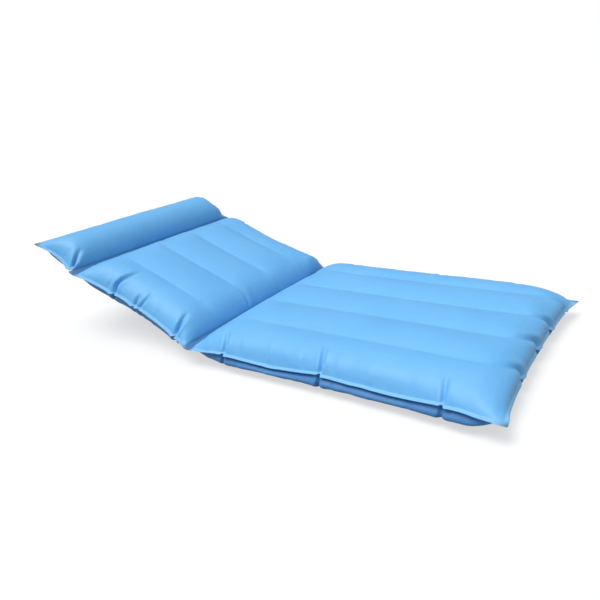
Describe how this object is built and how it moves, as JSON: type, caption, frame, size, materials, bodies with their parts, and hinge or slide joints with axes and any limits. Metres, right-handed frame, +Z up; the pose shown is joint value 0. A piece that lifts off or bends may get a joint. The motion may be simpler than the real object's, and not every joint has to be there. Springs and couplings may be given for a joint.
{
  "type": "pressure relief mattress",
  "caption": "Inflatable three-section bed mattress with folding pillow, channelled back and channelled leg sections, and screw-capped filling stems.",
  "frame": {"origin": "on the floor under the middle of the whole part, with the back section raised as stored", "axes": "+X towards the foot end along the mattress, +Y towards the long side with the filling stems, +Z up"},
  "size_m": [1.7846, 0.9, 0.3829],
  "materials": {
    "coated_nylon_top": "satin",
    "coated_nylon_below": "satin",
    "nylon_web": "matte",
    "fold_weld": "satin",
    "valve_stem": "satin",
    "valve_washer": "matte",
    "valve_cap": "satin"
  },
  "bodies": {
    "leg_section": {"leg_top_sheet": "coated_nylon_top", "leg_bottom_sheet": "coated_nylon_below", "leg_web_1": "nylon_web", "leg_web_2": "nylon_web", "leg_web_3": "nylon_web", "leg_web_4": "nylon_web", "leg_valve_stem": "valve_stem", "leg_valve_washer": "valve_washer", "back_fold_weld": "fold_weld"},
    "back_section": {"back_top_sheet": "coated_nylon_top", "back_bottom_sheet": "coated_nylon_below", "back_web_1": "nylon_web", "back_web_2": "nylon_web", "back_web_3": "nylon_web", "back_web_4": "nylon_web", "back_valve_stem": "valve_stem", "back_valve_washer": "valve_washer"},
    "pillow_section": {"pillow_top_sheet": "coated_nylon_top", "pillow_bottom_sheet": "coated_nylon_below", "pillow_valve_stem": "valve_stem", "pillow_valve_washer": "valve_washer", "pillow_fold_weld": "fold_weld"},
    "leg_cap": {"leg_valve_cap": "valve_cap"},
    "back_cap": {"back_valve_cap": "valve_cap"},
    "pillow_cap": {"pillow_valve_cap": "valve_cap"}
  },
  "joints": [
    {"name": "back_fold", "type": "hinge", "parent": "leg_section", "child": "back_section", "pos_m": [-0.1547, 0, 0.06215], "axis": [0, 1, 0], "range_deg": [-20.4, 49.6]},
    {"name": "pillow_fold", "type": "hinge", "parent": "back_section", "child": "pillow_section", "pos_m": [-0.7002, 0, 0.26502], "axis": [0, 1, 0], "range_deg": [-7.1, 52.9]},
    {"name": "leg_cap_turn", "type": "hinge", "parent": "leg_section", "child": "leg_cap", "pos_m": [0.1453, 0.43499, 0.06215], "axis": [0, 1, 0], "range_deg": [0, 720]},
    {"name": "back_cap_turn", "type": "hinge", "parent": "back_section", "child": "back_cap", "pos_m": [-0.42651, 0.426, 0.16324], "axis": [0, 1, 0], "range_deg": [0, 720]},
    {"name": "pillow_cap_turn", "type": "hinge", "parent": "pillow_section", "child": "pillow_cap", "pos_m": [-0.79511, 0.436, 0.31443], "axis": [0, 1, 0], "range_deg": [0, 720]}
  ]
}
